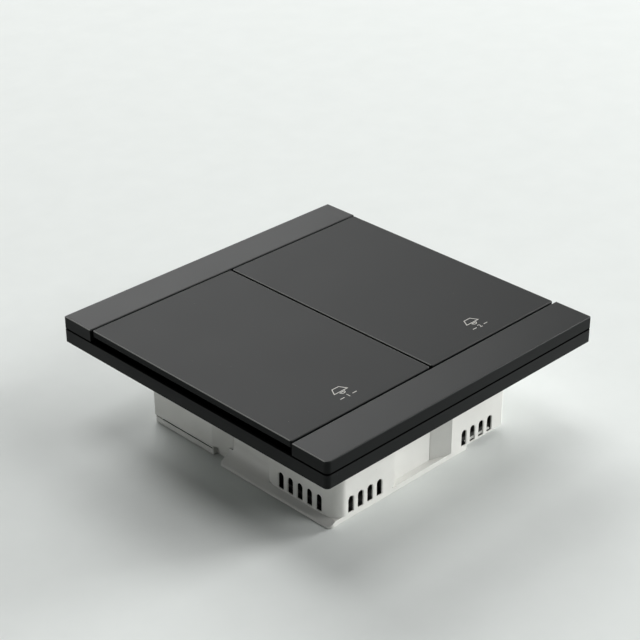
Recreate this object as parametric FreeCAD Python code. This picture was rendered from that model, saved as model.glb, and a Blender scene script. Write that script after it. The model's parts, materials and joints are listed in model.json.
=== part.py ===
# Two-gang large-panel wall switch, 86 type: plate, keys, housing and the mechanism inside.
# Millimetres. +Z points out of the face, +Y to the top of the plate, +X to the reader's right.
# The origin is under the middle of the plate, on the back of the base cover.
import FreeCAD, Part
import math
import os

# Overall heights, counted from the back of the base cover
face_z = 29.7
plate_thickness = 6.8
strip_height = 3.2
key_thickness = 1.6
cover_thickness = 1.6

# Plate outline
plate_side = 86.0
plate_corner_r = 0.3
near_corner_r = 1.15
bottom_strip_width = 10.25
top_strip_width = 9.5
bottom_gap = 0.7
top_gap = 0.5
key_gap = 0.6
key_side_inset = 0.4
key_corner_r = 0.4
edge_round = 0.25
parting_chamfer = 0.15

# Panel frame
frame_wall = 2.0
deck_thickness = 1.4
peg_r = 1.25
peg_length = 1.2
peg_edge_distance = 5.0
peg_places_x = (-30.0, -10.0, 10.0, 30.0)
strip_wall = 1.6
clip_thickness = 1.2
clip_width = 8.0
clip_reach = 0.7
clip_y = 20.0

# Mounting yoke, pressed steel
yoke_thickness = 1.2
yoke_inset_x = 5.0
yoke_inset_y = 8.0
yoke_corner_r = 3.0
yoke_flange_height = 2.0
yoke_flange_length = 56.0
slot_spacing = 60.3
slot_width = 4.4
slot_length = 7.0
screw_head_access_r = 4.2

# Housing shell
housing_half_x = 28.1
housing_half_y = 30.8
housing_corner_r = 3.0
housing_tight_r = 0.8
foot_round = 0.8
skirt_corner_r = 1.5
housing_wall = 1.6
bay_half = 9.6
bay_ramp = 5.4
bay_depth = 1.84
vent_width = 1.45
vent_height = 4.4
vent_foot = 0.35
vent_pitch = 3.0
vent_flare = 0.2
vent_skin = 0.6
vent_pocket_top_z = 7.0
vents_front = 4
vents_side = 5
vent_front_first = 14.4
vent_front_far_first = 14.0
vent_side_first = 13.4
partition_thickness = 1.4
boss_r = 2.3
boss_inset = 3.3

# Base cover
lip_proud = 1.8
lip_front_inset = 0.2
lip_front_end = 15.2
lip_left_end = 5.3
cover_setback = 2.0
cover_inset = 0.3
notch_length = 4.1
notch_depth = 1.2
latch_window_width = 1.4
latch_window_height = 0.9
lip_corner_r = 1.3
lip_slope_deg = 30.0
lip_edge_round = 0.9
cover_corner_r = 0.8
cover_edge_round = 0.3
rim_height = 1.0
rim_thickness = 1.0
rim_clear = 0.15
tab_top_z = 15.5
tab_shoulder_z = 3.2
rib_thickness = 1.2

# Screws that hold yoke and cover
body_screw_r = 1.1
body_screw_head_r = 2.0
body_screw_head_height = 1.0
body_screw_length = 7.0
body_screw_socket = 0.6
cover_screw_sink = 1.2

# Mechanism: two gangs, all of it in the Y-Z plane
gang_inset = 14.5
mechanism_y = -6.0
fit = 0.05
gap = 0.3

# Key hinge and return spring
hinge_inset = 2.0
hinge_z_below_face = 3.5
trunnion_r = 1.0
trunnion_length = 2.4
lug_thickness = 1.6
lug_spread = 14.0
hinge_block_wall = 0.8
spring_inset = 9.05
spring_r = 2.2
spring_wire_r = 0.22
spring_turns = 4
spring_boss_r = 1.2
spring_boss_height = 0.9

# Pusher
pusher_drop = 4.3
pusher_tip_above_axle = 3.65
pusher_half_width = 2.2
pusher_barrel_r = 1.5
pusher_tip_r = 0.4
pin_r = 0.75
ear_thickness = 1.2
ear_clear = 0.25
window_half_x = 4.1
window_half_y = 4.2

# Rocker, its axle and sprung plunger
rocker_z = 15.2
rocker_rest_deg = -10.0
rocker_half_width = 3.9
rocker_axle_r = 1.0
rocker_apex = 3.6
rocker_valley_y = 2.4
rocker_valley_z = 1.9
rocker_lip_y = 4.2
rocker_lip_z = 3.3
rocker_bottom = 4.4
plunger_reach = 7.2
plunger_r = 1.9
plunger_bore_r = 1.35
plunger_length = 4.4
plunger_floor = 1.3
plunger_spring_r = 1.0
plunger_spring_wire_r = 0.15
plunger_spring_turns = 5

# Contact arm and bars
arm_tilt_deg = 6.0
arm_half_width = 2.4
arm_half_length = 8.4
arm_thickness = 0.8
arm_z = 7.05
contact_reach = 7.0
contact_r = 1.3
contact_height = 0.6
bar_z = 4.0
bar_thickness = 0.8
bar_half_width = 1.2
bar_offset = 5.5
pad_half_width = 1.7
contact_clear = 0.12

# Terminals
terminal_end_clear = 0.41
terminal_length = 6.6
terminal_screw_r = 1.25
terminal_head_r = 1.8
terminal_head_height = 1.2
terminal_screw_length = 4.4
clamp_half_width = 2.2
clamp_thickness = 0.8
access_hole_r = 2.1
wire_mouth = 3.0

# Heights and places worked out from the sizes above
wall_z = face_z - plate_thickness
parting_z = face_z - strip_height
key_under_z = face_z - key_thickness
deck_under_z = parting_z - deck_thickness
yoke_top_z = wall_z + yoke_thickness
half_plate = plate_side / 2
yoke_half_x = half_plate - yoke_inset_x
yoke_half_y = half_plate - yoke_inset_y
bottom_strip_y = -half_plate + bottom_strip_width
top_strip_y = half_plate - top_strip_width
key_low_y = bottom_strip_y + bottom_gap
key_high_y = top_strip_y - top_gap
hinge_y = key_high_y - hinge_inset
hinge_z = face_z - hinge_z_below_face
spring_y = key_low_y + spring_inset
pusher_z = face_z - pusher_drop
pusher_length = pusher_z - rocker_z - pusher_tip_above_axle
ceiling_z = wall_z - housing_wall
bay_flat = bay_half - bay_ramp
lip_left_x = housing_half_x + lip_proud
lip_front_y = housing_half_y - lip_front_inset
gang_x = housing_half_x - gang_inset
terminal_end_y = housing_half_y - bay_depth - housing_wall - rim_clear - rim_thickness - terminal_end_clear
terminal_y = terminal_end_y - terminal_length
bar_top_z = bar_z + bar_thickness
fixed_contact_z = arm_z - contact_height - contact_clear
fixed_contact_z -= (contact_reach + contact_r) * math.sin(math.radians(arm_tilt_deg))

X_AXIS = FreeCAD.Vector(1, 0, 0)
Z_AXIS = FreeCAD.Vector(0, 0, 1)


# Shape helpers

def box(x0, x1, y0, y1, z0, z1):
    return Part.makeBox(x1 - x0, y1 - y0, z1 - z0, FreeCAD.Vector(x0, y0, z0))


def upright(radius, x, y, z0, z1):
    return Part.makeCylinder(radius, z1 - z0, FreeCAD.Vector(x, y, z0), Z_AXIS)


def crosswise(radius, x0, x1, y, z):
    return Part.makeCylinder(radius, x1 - x0, FreeCAD.Vector(x0, y, z), X_AXIS)


def join(shapes):
    return shapes[0].fuse(shapes[1:]).removeSplitter() if len(shapes) > 1 else shapes[0]


def prism(points, z0, z1):
    """Upright prism on an outline of (x, y) points."""
    corners = [FreeCAD.Vector(x, y, z0) for x, y in points]
    face = Part.Face(Part.makePolygon(corners + corners[:1]))
    return face.extrude(FreeCAD.Vector(0, 0, z1 - z0))


def side_prism(points, x0, x1):
    """Prism along X on an outline of (y, z) points."""
    corners = [FreeCAD.Vector(x0, y, z) for y, z in points]
    face = Part.Face(Part.makePolygon(corners + corners[:1]))
    return face.extrude(FreeCAD.Vector(x1 - x0, 0, 0))


def round_edges(shape, radius, wanted):
    edges = [edge for edge in shape.Edges if wanted(edge)]
    return shape.makeFillet(radius, edges) if edges else shape


def is_upright(edge):
    box_of_edge = edge.BoundBox
    return box_of_edge.XLength < 1e-4 and box_of_edge.YLength < 1e-4


def upright_at(places):
    """Picks upright edges that stand on one of the given places."""
    def wanted(edge):
        middle = edge.BoundBox.Center
        near = [math.hypot(middle.x - x, middle.y - y) < 1e-3 for x, y in places]
        return is_upright(edge) and any(near)
    return wanted


def rectangle_corners(half_x, half_y):
    return [(x, y) for x in (-half_x, half_x) for y in (-half_y, half_y)]


def hollow_foot(x, radius, y0, y1, z):
    """Cutter that rounds an edge along Y on the left side, at its foot."""
    block = box(x - 1, x + radius, y0, y1, z - 1, z + radius)
    round_part = Part.makeCylinder(radius, y1 - y0 + 2, FreeCAD.Vector(x + radius, y0 - 1, z + radius),
                                   FreeCAD.Vector(0, 1, 0))
    return block.cut(round_part)


def along_y(edges, length):
    """Prism along Y on a closed side view."""
    return Part.Face(Part.Wire(edges)).extrude(FreeCAD.Vector(0, length, 0))


def lies_at(z):
    """Picks edges that lie flat at a height."""
    def wanted(edge):
        low, high = edge.BoundBox.ZMin, edge.BoundBox.ZMax
        return abs(low - z) < 1e-4 and abs(high - z) < 1e-4
    return wanted


def turned(shape, degrees, y, z):
    """A copy turned about an axis along X."""
    copy = shape.copy()
    copy.rotate(FreeCAD.Vector(0, y, z), X_AXIS, degrees)
    return copy


def coil(x, y, z0, z1, radius, wire_r, turns):
    """Open coil spring between two levels, as one round wire on a helix."""
    low = z0 + wire_r
    high = z1 - wire_r
    path = Part.makeHelix((high - low) / turns, high - low, radius)
    path.translate(FreeCAD.Vector(x, y, low))
    start = path.Edges[0].valueAt(path.Edges[0].FirstParameter)
    along = path.Edges[0].tangentAt(path.Edges[0].FirstParameter)
    section = Part.Wire(Part.makeCircle(wire_r, start, along))
    return Part.Wire(path.Edges).makePipeShell([section], True, True)


def both_gangs(make):
    """One shape for each gang, under the names left and right."""
    return {"left": make(-1), "right": make(1)}


# Panel frame, strips and keys

def frame_outline(z0, z1):
    half = half_plate
    block = box(-half, half, -half, half, z0, z1)
    corners = rectangle_corners(half, half)
    block = round_edges(block, near_corner_r, upright_at(corners[:1]))
    return round_edges(block, plate_corner_r, upright_at(corners[1:]))


def key_middle_x(side):
    inner = key_gap / 2
    outer = half_plate - key_side_inset
    return side * (inner + outer) / 2


def lug_places(side):
    middle = key_middle_x(side)
    return [(middle - lug_spread, -1), (middle + lug_spread, 1)]


def peg_places(y):
    return [(x, y) for x in peg_places_x]


def hinge_block(x, out):
    """Upright block on the deck that holds one trunnion of a key."""
    near = x + out * (lug_thickness / 2 + gap)
    far = x + out * (lug_thickness / 2 + trunnion_length)
    half = trunnion_r + fit + hinge_block_wall
    return box(min(near, far), max(near, far), hinge_y - half, hinge_y + half, deck_under_z,
               key_under_z - gap)


def hinge_bore(x, out):
    """Bore through one hinge block and the deck beside it."""
    far = x + out * (lug_thickness / 2 + trunnion_length + gap)
    return crosswise(trunnion_r + fit, min(x, far), max(x, far), hinge_y, hinge_z)


def clip(side, y):
    """Snap clip that hangs from the deck and hooks into the window of the yoke's flange."""
    inner = side * (yoke_half_x + gap)
    outer = inner + side * clip_thickness
    low, high = min(inner, outer), max(inner, outer)
    half = clip_width / 2
    leg = box(low, high, y - half, y + half, wall_z + gap, deck_under_z)
    tip = side * (yoke_half_x - clip_reach)
    hook_low, hook_high = min(inner, tip), max(inner, tip)
    hook_top = yoke_top_z + 0.2
    hook = box(hook_low, hook_high, y - half + 1, y + half - 1, wall_z + gap, hook_top)
    return join([leg, hook])


def make_panel_frame():
    body = frame_outline(wall_z, parting_z)
    body = body.makeChamfer(parting_chamfer, [e for e in body.Edges if lies_at(parting_z)(e)])
    body = round_edges(body, edge_round, lies_at(wall_z))
    inner = half_plate - frame_wall
    body = body.cut(box(-inner, inner, -inner, inner, wall_z - 1, deck_under_z))
    cuts = []
    adds = []
    bores = []
    for side in (-1, 1):
        x = side * gang_x
        y_low, y_high = mechanism_y - window_half_y, mechanism_y + window_half_y
        cuts.append(box(x - window_half_x, x + window_half_x, y_low, y_high, wall_z, face_z))
        cuts.append(upright(spring_r + 1.0, x, spring_y, wall_z, face_z))
        cuts.append(upright(screw_head_access_r, side * slot_spacing / 2, 0, wall_z, face_z))
        for lug_x, out in lug_places(side):
            half = lug_thickness / 2 + gap
            deep = trunnion_r + 1.2
            cuts.append(box(lug_x - half, lug_x + half, hinge_y - deep, hinge_y + deep, wall_z, face_z))
            adds.append(hinge_block(lug_x, out))
            bores.append(hinge_bore(lug_x, out))
        for y in (-clip_y, clip_y):
            adds.append(clip(side, y))
    for y in (half_plate - peg_edge_distance, -half_plate + peg_edge_distance):
        cuts += [upright(peg_r + fit, x, y, wall_z, face_z) for x, y in peg_places(y)]
    body = body.cut(cuts)
    return join([body] + adds).cut(bores)


def make_strip(y0, y1, peg_y):
    """One dark bar: a hollow moulding on four pegs, its two outer corners rounded."""
    outline = frame_outline(parting_z, face_z)
    body = outline.common(box(-plate_side, plate_side, y0, y1, parting_z, face_z))
    edge_y = half_plate if y1 > 0 else -half_plate

    def outer_low(edge):
        middle = edge.BoundBox.Center
        inner_y = y0 if y1 > 0 else y1
        return lies_at(parting_z)(edge) and abs(middle.y - inner_y) > 1e-3

    body = body.makeChamfer(parting_chamfer, [e for e in body.Edges if outer_low(e)])
    body = round_edges(body, edge_round, lies_at(face_z))
    pocket_top = face_z - strip_wall
    pocket = box(-half_plate + strip_wall, half_plate - strip_wall, y0 + strip_wall,
                 y1 - strip_wall, parting_z - 1, pocket_top)
    body = body.cut(pocket)
    pegs = [upright(peg_r, x, y, parting_z - peg_length, pocket_top) for x, y in peg_places(peg_y)]
    return join([body] + pegs)


def make_key(side):
    """One key: flat slab, two hinge lugs with trunnions, a spring boss and two pusher ears."""
    middle = key_middle_x(side)
    half = (half_plate - key_side_inset - key_gap / 2) / 2
    slab = box(middle - half, middle + half, key_low_y, key_high_y, key_under_z, face_z)
    slab = round_edges(slab, key_corner_r, is_upright)
    slab = round_edges(slab, edge_round, lies_at(face_z))
    adds = []
    for x, out in lug_places(side):
        low, high = x - lug_thickness / 2, x + lug_thickness / 2
        foot = trunnion_r + 0.6
        lug = box(low, high, hinge_y - foot, hinge_y + foot, hinge_z, key_under_z)
        adds.append(lug)
        adds.append(crosswise(foot, low, high, hinge_y, hinge_z))
        tip = x + out * (lug_thickness / 2 + trunnion_length - gap)
        adds.append(crosswise(trunnion_r, min(x, tip), max(x, tip), hinge_y, hinge_z))
    x = side * gang_x
    adds.append(upright(spring_boss_r, x, spring_y, key_under_z - spring_boss_height, key_under_z))
    ear_r = pin_r + 0.85
    for out in (-1, 1):
        near = x + out * (pusher_half_width + ear_clear)
        far = near + out * ear_thickness
        low, high = min(near, far), max(near, far)
        ear = box(low, high, mechanism_y - ear_r, mechanism_y + ear_r, pusher_z, key_under_z)
        adds.append(ear)
        adds.append(crosswise(ear_r, low, high, mechanism_y, pusher_z))
    body = join([slab] + adds)
    through = pusher_half_width + ear_clear + ear_thickness + gap
    return body.cut(crosswise(pin_r + fit, x - through, x + through, mechanism_y, pusher_z))


def make_return_spring(side):
    return coil(side * gang_x, spring_y, yoke_top_z, key_under_z, spring_r, spring_wire_r, spring_turns)


# Pusher

def make_pusher(side):
    x = side * gang_x
    low, high = x - pusher_half_width, x + pusher_half_width
    y, z = mechanism_y, pusher_z
    tip_z = z - pusher_length + pusher_tip_r
    arm = side_prism([(y - 1.2, z), (y + 1.2, z), (y + pusher_tip_r, tip_z), (y - pusher_tip_r, tip_z)],
                     low, high)
    parts = [arm, crosswise(pusher_barrel_r, low, high, y, z), crosswise(pusher_tip_r, low, high, y, tip_z)]
    return join(parts).cut(crosswise(pin_r + fit, low - 1, high + 1, y, z))


def make_pusher_pin(side):
    x = side * gang_x
    half = pusher_half_width + ear_clear + ear_thickness
    return crosswise(pin_r, x - half, x + half, mechanism_y, pusher_z)


# Mounting yoke and housing

def boss_places():
    """The four screw bosses: one beside each bay and one in the partition at each end."""
    x = housing_half_x - bay_depth - boss_inset
    y = housing_half_y - bay_depth - boss_inset
    return [(-x, 0), (x, 0), (0, -y), (0, y)]


def make_mounting_yoke():
    plate = box(-yoke_half_x, yoke_half_x, -yoke_half_y, yoke_half_y, wall_z, yoke_top_z)
    plate = round_edges(plate, yoke_corner_r, is_upright)
    adds = []
    cuts = []
    flange_half = yoke_flange_length / 2
    for side in (-1, 1):
        outer = side * yoke_half_x
        inner = outer - side * yoke_thickness
        low, high = min(inner, outer), max(inner, outer)
        flange = box(low, high, -flange_half, flange_half, wall_z, wall_z + yoke_flange_height)
        adds.append(flange)
        for y in (-clip_y, clip_y):
            half = clip_width / 2 - 1 + gap
            cuts.append(box(outer - 3, outer + 3, y - half, y + half, wall_z - 1, yoke_top_z + 0.4))
        x = side * gang_x
        y_low, y_high = mechanism_y - window_half_y, mechanism_y + window_half_y
        cuts.append(box(x - window_half_x, x + window_half_x, y_low, y_high, wall_z - 1, yoke_top_z + 1))
        straight = (slot_length - slot_width) / 2
        slot_x = side * slot_spacing / 2
        cuts.append(box(slot_x - straight, slot_x + straight, -slot_width / 2, slot_width / 2,
                        wall_z - 1, yoke_top_z + 1))
        for end in (-straight, straight):
            cuts.append(upright(slot_width / 2, slot_x + end, 0, wall_z - 1, yoke_top_z + 1))
    for x, y in boss_places():
        cuts.append(upright(body_screw_r + 0.2, x, y, wall_z - 1, yoke_top_z + 1))
    return join([plate] + adds).cut(cuts)


def side_of(turn):
    """Reach of one side of the housing, and which end of its bay is square, counted from +X."""
    return (housing_half_x, 1) if turn % 2 == 0 else (housing_half_y, -1)


def bayed_outline(inset):
    """Outline of the housing: each side has a shallow bay, square at one end and sloped at the other."""
    points = []
    square_end = bay_half + inset
    for turn in range(4):
        reach = side_of(turn)[0] - inset
        across = side_of(turn + 1)[0] - inset
        deep = reach - bay_depth
        if side_of(turn)[1] > 0:
            bay = [(reach, -bay_half), (deep, -bay_flat), (deep, square_end), (reach, square_end)]
        else:
            bay = [(reach, -square_end), (deep, -square_end), (deep, bay_flat), (reach, bay_half)]
        side = [(reach, -across)] + bay
        angle = math.pi / 2 * turn
        cosine, sine = round(math.cos(angle)), round(math.sin(angle))
        points += [(u * cosine - v * sine, u * sine + v * cosine) for u, v in side]
    return points


def vent_cutter(reach, place):
    """One vent slot through the thin skin at +X, with a round head, flared to the inside and the outside."""
    half = vent_width / 2
    wide, wider = half + vent_flare, half + vent_skin - vent_flare
    z0, z1 = cover_thickness + vent_foot, cover_thickness + vent_height - half
    inside, mouth, outside = reach - vent_skin, reach - vent_flare, reach + 1
    outline = [(inside, place - wider), (mouth, place - half), (reach, place - wide),
               (outside, place - wide), (outside, place + wide), (reach, place + wide),
               (mouth, place + half), (inside, place + wider)]
    flare = Part.makeCone(half, wide, vent_flare, FreeCAD.Vector(mouth, place, z1), X_AXIS)
    throat = Part.makeCone(wider, half, mouth - inside, FreeCAD.Vector(inside, place, z1), X_AXIS)
    return join([prism(outline, z0, z1), throat, flare, crosswise(wide, reach, outside, place, z1)])


def vent_pocket(reach, first, count):
    """Pocket inside the wall at +X that leaves a thin skin round a row of slots."""
    beyond = vent_pitch / 2
    return box(reach - housing_wall - 0.1, reach - vent_skin, first - beyond,
               first + vent_pitch * (count - 1) + beyond, cover_thickness - 1, vent_pocket_top_z)


def turned_about_z(shape, degrees):
    copy = shape.copy()
    copy.rotate(FreeCAD.Vector(), Z_AXIS, degrees)
    return copy


def vent_cutters():
    """Slots on the two end walls, and on the side walls below the middle."""
    cutters = []
    for step in range(vents_front):
        for place in (vent_front_far_first + vent_pitch * step, -vent_front_first - vent_pitch * step):
            slot = vent_cutter(housing_half_y, place)
            cutters += [turned_about_z(slot, 90), turned_about_z(slot, -90)]
    for step in range(vents_side):
        place = vent_side_first + vent_pitch * step
        cutters.append(vent_cutter(housing_half_x, -place))
        cutters.append(turned_about_z(vent_cutter(housing_half_x, place), 180))
    last_front = vent_front_first + vent_pitch * (vents_front - 1)
    last_side = vent_side_first + vent_pitch * (vents_side - 1)
    for first in (vent_front_far_first, -last_front):
        pocket = vent_pocket(housing_half_y, first, vents_front)
        cutters += [turned_about_z(pocket, 90), turned_about_z(pocket, -90)]
    cutters.append(vent_pocket(housing_half_x, -last_side, vents_side))
    cutters.append(turned_about_z(vent_pocket(housing_half_x, vent_side_first, vents_side), 180))
    return cutters


def skirt_corner_cutters():
    """Rounds the lower corner of the skirt at the square end of each bay."""
    cutters = []
    radius = skirt_corner_r
    axis_z = cover_thickness + radius
    for turn in range(4):
        reach, end = side_of(turn)
        inner, outer = reach - bay_depth, reach + 1
        axis_y, far_y = end * (bay_half + radius), end * (bay_half - 1)
        block = box(inner, outer, min(axis_y, far_y), max(axis_y, far_y), cover_thickness - 1, axis_z)
        cutter = block.cut(crosswise(radius, inner - 1, outer + 1, axis_y, axis_z))
        cutters.append(turned_about_z(cutter, turn * 90))
    return cutters


def tab_span(turn, clear):
    """Where the tab of the base cover starts and ends along one bay."""
    square, sloped = bay_half - clear, bay_flat - clear
    return (-sloped, square) if side_of(turn)[1] > 0 else (-square, sloped)


def tab_openings():
    """Openings of the shell for the tabs that stand on the base cover."""
    cutters = []
    for turn in range(4):
        low, high = tab_span(turn, 0)
        face = side_of(turn)[0] - bay_depth
        back, foot_z = face - housing_wall - rim_thickness, cover_thickness - 1
        cutters.append(turned_about_z(box(back, face + rim_clear, low, high, foot_z,
                                          tab_top_z + rim_clear), turn * 90))
        if turn == 2:
            cutters.append(turned_about_z(box(back, housing_half_x, -lip_left_end - rim_clear, low + 0.1,
                                              foot_z, tab_shoulder_z + rim_clear), turn * 90))
    return cutters


def curved_tab(low, high, back, face, foot_z):
    """Tab at +X whose foot curves out to the skirt's line, where the lip's slope carries on."""
    slope = math.radians(lip_slope_deg)
    radius = (housing_half_x - face) / (1 - math.sin(slope))
    start_z = cover_thickness + radius * math.cos(slope)
    middle = (math.pi / 2 - slope) / 2
    bend = FreeCAD.Vector(face + radius * (1 - math.cos(middle)), low, start_z - radius * math.sin(middle))
    toe = FreeCAD.Vector(housing_half_x, low, cover_thickness)
    start = FreeCAD.Vector(face, low, start_z)
    rest = [FreeCAD.Vector(face, low, tab_top_z), FreeCAD.Vector(back, low, tab_top_z),
            FreeCAD.Vector(back, low, foot_z), FreeCAD.Vector(housing_half_x, low, foot_z)]
    straight = Part.makePolygon([start] + rest + [toe]).Edges
    return along_y(straight + [Part.Arc(toe, bend, start).toShape()], high - low)


def cover_tabs():
    """Four tabs that close the bays; the one over the lip has a curved foot that is wider than it."""
    tabs = []
    foot_z = cover_thickness / 2
    for turn in range(4):
        low, high = tab_span(turn, rim_clear)
        face = side_of(turn)[0] - bay_depth
        back = face - housing_wall - rim_clear
        if turn == 2:
            tab = curved_tab(-lip_left_end, high, back, face, foot_z)
            tab = tab.cut(box(0, housing_half_x, -lip_left_end - 1, low, tab_shoulder_z, tab_top_z + 1))
        else:
            tab = box(back, face, low, high, foot_z, tab_top_z)
        tabs.append(turned_about_z(tab, turn * 90))
    return tabs


def axle_ear(x0, x1):
    foot = rocker_axle_r + 1.2
    plate = box(x0, x1, mechanism_y - foot, mechanism_y + foot, rocker_z, ceiling_z)
    return join([plate, crosswise(foot, x0, x1, mechanism_y, rocker_z)])


def ear_faces(side):
    """Inner and outer faces of the two ears that carry one rocker's axle."""
    x = side * gang_x
    near = rocker_half_width + ear_clear
    return [(x - near - ear_thickness, x - near), (x + near, x + near + ear_thickness)]


def make_housing_shell():
    outer = prism(bayed_outline(0), cover_thickness, wall_z)
    corners = rectangle_corners(housing_half_x, housing_half_y)
    outer = round_edges(outer, housing_corner_r, upright_at(corners[:1]))
    outer = round_edges(outer, housing_tight_r, upright_at(corners[1:]))
    outer = outer.cut(skirt_corner_cutters())
    outer = outer.cut(hollow_foot(-housing_half_x, foot_round, bay_half, housing_half_y + 1, cover_thickness))
    inner = prism(bayed_outline(housing_wall), cover_thickness - 1, ceiling_z)
    body = outer.cut([inner] + tab_openings())
    adds = []
    window_end = lip_left_end + notch_length
    cuts = vent_cutters() + [box(-housing_half_x - 1, -housing_half_x + bay_depth + housing_wall,
                                 window_end - latch_window_width, window_end, cover_thickness - 1,
                                 cover_thickness + latch_window_height)]
    half = partition_thickness / 2
    reach = housing_half_y - bay_depth - housing_wall + 0.1
    partition_foot = cover_thickness + rim_height + gap
    adds.append(box(-half, half, -reach, reach, partition_foot, ceiling_z + 0.1))
    screw_deep = body_screw_length + 1
    for x, y in boss_places():
        adds.append(upright(boss_r, x, y, cover_thickness, ceiling_z + 0.1))
        cuts.append(upright(body_screw_r + fit, x, y, wall_z - screw_deep, wall_z + 1))
        cuts.append(upright(body_screw_r + fit, x, y, 0, cover_seat_z() + screw_deep))
    for side in (-1, 1):
        x = side * gang_x
        y_low, y_high = mechanism_y - window_half_y, mechanism_y + window_half_y
        cuts.append(box(x - window_half_x, x + window_half_x, y_low, y_high, ceiling_z - 0.5, wall_z + 1))
        adds += [axle_ear(low, high) for low, high in ear_faces(side)]
        inner_ear, outer_ear = ear_faces(side)
        cuts.append(crosswise(rocker_axle_r + fit, inner_ear[0] - gap, outer_ear[1] + gap,
                              mechanism_y, rocker_z))
    return join([body] + adds).cut(cuts)


def body_screw(x, y, seat_z, direction):
    """Screw with a round flat head; direction is the way its point goes along Z."""
    tip = seat_z + direction * body_screw_length
    head = seat_z - direction * body_screw_head_height
    shank = upright(body_screw_r, x, y, min(seat_z, tip), max(seat_z, tip))
    cap = upright(body_screw_head_r, x, y, min(seat_z, head), max(seat_z, head))
    socket_end = head + direction * body_screw_socket
    low, high = min(head, socket_end), max(head, socket_end)
    blades = [box(x - 1.2, x + 1.2, y - 0.25, y + 0.25, low, high),
              box(x - 0.25, x + 0.25, y - 1.2, y + 1.2, low, high)]
    return join([shank, cap]).cut(blades)


def make_yoke_screws():
    return Part.makeCompound([body_screw(x, y, yoke_top_z, -1) for x, y in boss_places()])


def cover_seat_z():
    """Level that the heads of the cover screws bear on, sunk into the cover."""
    return cover_screw_sink


def make_cover_screws():
    return Part.makeCompound([body_screw(x, y, cover_seat_z(), 1) for x, y in boss_places()])


# Base cover

def terminal_places(side):
    x = side * gang_x
    return [x - bar_offset, x, x + bar_offset]


def cover_outline():
    """Wide at the near left corner, where it stands out as a lip, and set back elsewhere."""
    right = housing_half_x - cover_inset
    top = housing_half_y - cover_inset
    left = housing_half_x - cover_inset / 3
    set_front = housing_half_y - cover_setback
    set_left = left - notch_depth
    return [(-lip_left_x, -lip_front_y), (lip_front_end, -lip_front_y),
            (lip_front_end + 1.0, -set_front), (right, -set_front), (right, top), (-left, top),
            (-left, lip_left_end + notch_length), (-set_left, lip_left_end + notch_length),
            (-set_left, lip_left_end), (-lip_left_x, lip_left_end)]


def lip_slope_cutter():
    """Cutter over the left lip: its top slopes down from the skirt's line, with a rounded edge."""
    slope = math.radians(lip_slope_deg)
    y = -housing_half_y - 1
    length = housing_half_y + lip_left_end + 2
    corner_z = cover_thickness - lip_proud * math.tan(slope)
    turn = math.pi / 2 - slope
    reach = lip_edge_round * math.tan(turn / 2)
    tangent = FreeCAD.Vector(-lip_left_x + reach * math.cos(slope), y, corner_z + reach * math.sin(slope))
    middle = FreeCAD.Vector(-lip_left_x + lip_edge_round * (1 - math.cos(turn / 2)), y,
                            corner_z - reach + lip_edge_round * math.sin(turn / 2))
    low = FreeCAD.Vector(-lip_left_x, y, corner_z - reach)
    outside = -lip_left_x - 1
    rest = [FreeCAD.Vector(outside, y, low.z), FreeCAD.Vector(outside, y, cover_thickness + 1),
            FreeCAD.Vector(-housing_half_x, y, cover_thickness + 1),
            FreeCAD.Vector(-housing_half_x, y, cover_thickness), tangent]
    straight = Part.makePolygon([low] + rest).Edges
    return along_y(straight + [Part.Arc(tangent, middle, low).toShape()], length)


def make_base_cover():
    body = prism(cover_outline(), 0, cover_thickness)
    near, others = cover_corners()[:1], cover_corners()[1:]
    body = round_edges(body, lip_corner_r, upright_at(near))
    body = round_edges(body, cover_corner_r, upright_at(others))
    body = round_edges(body, cover_edge_round, lies_at(0))
    body = body.cut(lip_slope_cutter())
    rim_inset = housing_wall + rim_clear
    rim = prism(bayed_outline(rim_inset), cover_thickness - 0.1, cover_thickness + rim_height)
    core = prism(bayed_outline(rim_inset + rim_thickness), 0, bar_z)
    around_bosses = [upright(boss_r + rim_clear + 0.1, x, y, cover_thickness, tab_top_z + 1)
                     for x, y in boss_places()]
    adds = [upstand.cut(around_bosses) for upstand in [rim.cut(core)] + cover_tabs()]
    cuts = []
    for x, y in boss_places():
        cuts.append(upright(body_screw_r + 0.2, x, y, -1, cover_thickness + 1))
        cuts.append(upright(body_screw_head_r + gap, x, y, -1, cover_seat_z()))
    half = rib_thickness / 2
    pads = (mechanism_y - contact_reach, mechanism_y, mechanism_y + contact_reach,
            terminal_y - 2.6 * terminal_head_r)
    for side in (-1, 1):
        x = side * gang_x
        reach = bar_offset + bar_half_width
        for y in pads:
            adds.append(box(x - reach, x + reach, y - half, y + half, cover_thickness - 0.1, bar_z))
        for place in terminal_places(side):
            cuts.append(upright(access_hole_r, place, terminal_y, -1, cover_thickness + 0.5))
            mouth = wire_mouth / 2
            middle = wire_middle_y()
            cuts.append(box(place - mouth, place + mouth, middle - mouth, middle + mouth, -1,
                            cover_thickness + 0.5))
    return join([body] + adds).cut(cuts)


def cover_corners():
    """Outer corners of the cover: the near one on the lip first, then the end of the lip."""
    return [(-lip_left_x, -lip_front_y), (-lip_left_x, lip_left_end),
            (housing_half_x - cover_inset, housing_half_y - cover_inset),
            (-housing_half_x + cover_inset / 3, housing_half_y - cover_inset),
            (housing_half_x - cover_inset, -housing_half_y + cover_setback)]


# Rocker group, built upright about its axle and then turned to its rest angle

def rocker_profile():
    half = rocker_lip_y - 0.2
    right = [(3.0, -rocker_bottom), (half, -1.0), (rocker_lip_y, rocker_lip_z),
             (rocker_lip_y - 0.6, rocker_lip_z), (rocker_valley_y, rocker_valley_z)]
    left = [(-y, z) for y, z in reversed(right)]
    return right + [(0, rocker_apex)] + left


def at_rocker(points):
    return [(mechanism_y + y, rocker_z + z) for y, z in points]


def at_rest(shape):
    return turned(shape, rocker_rest_deg, mechanism_y, rocker_z)


def plunger_top():
    return rocker_z - plunger_reach + plunger_length


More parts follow.
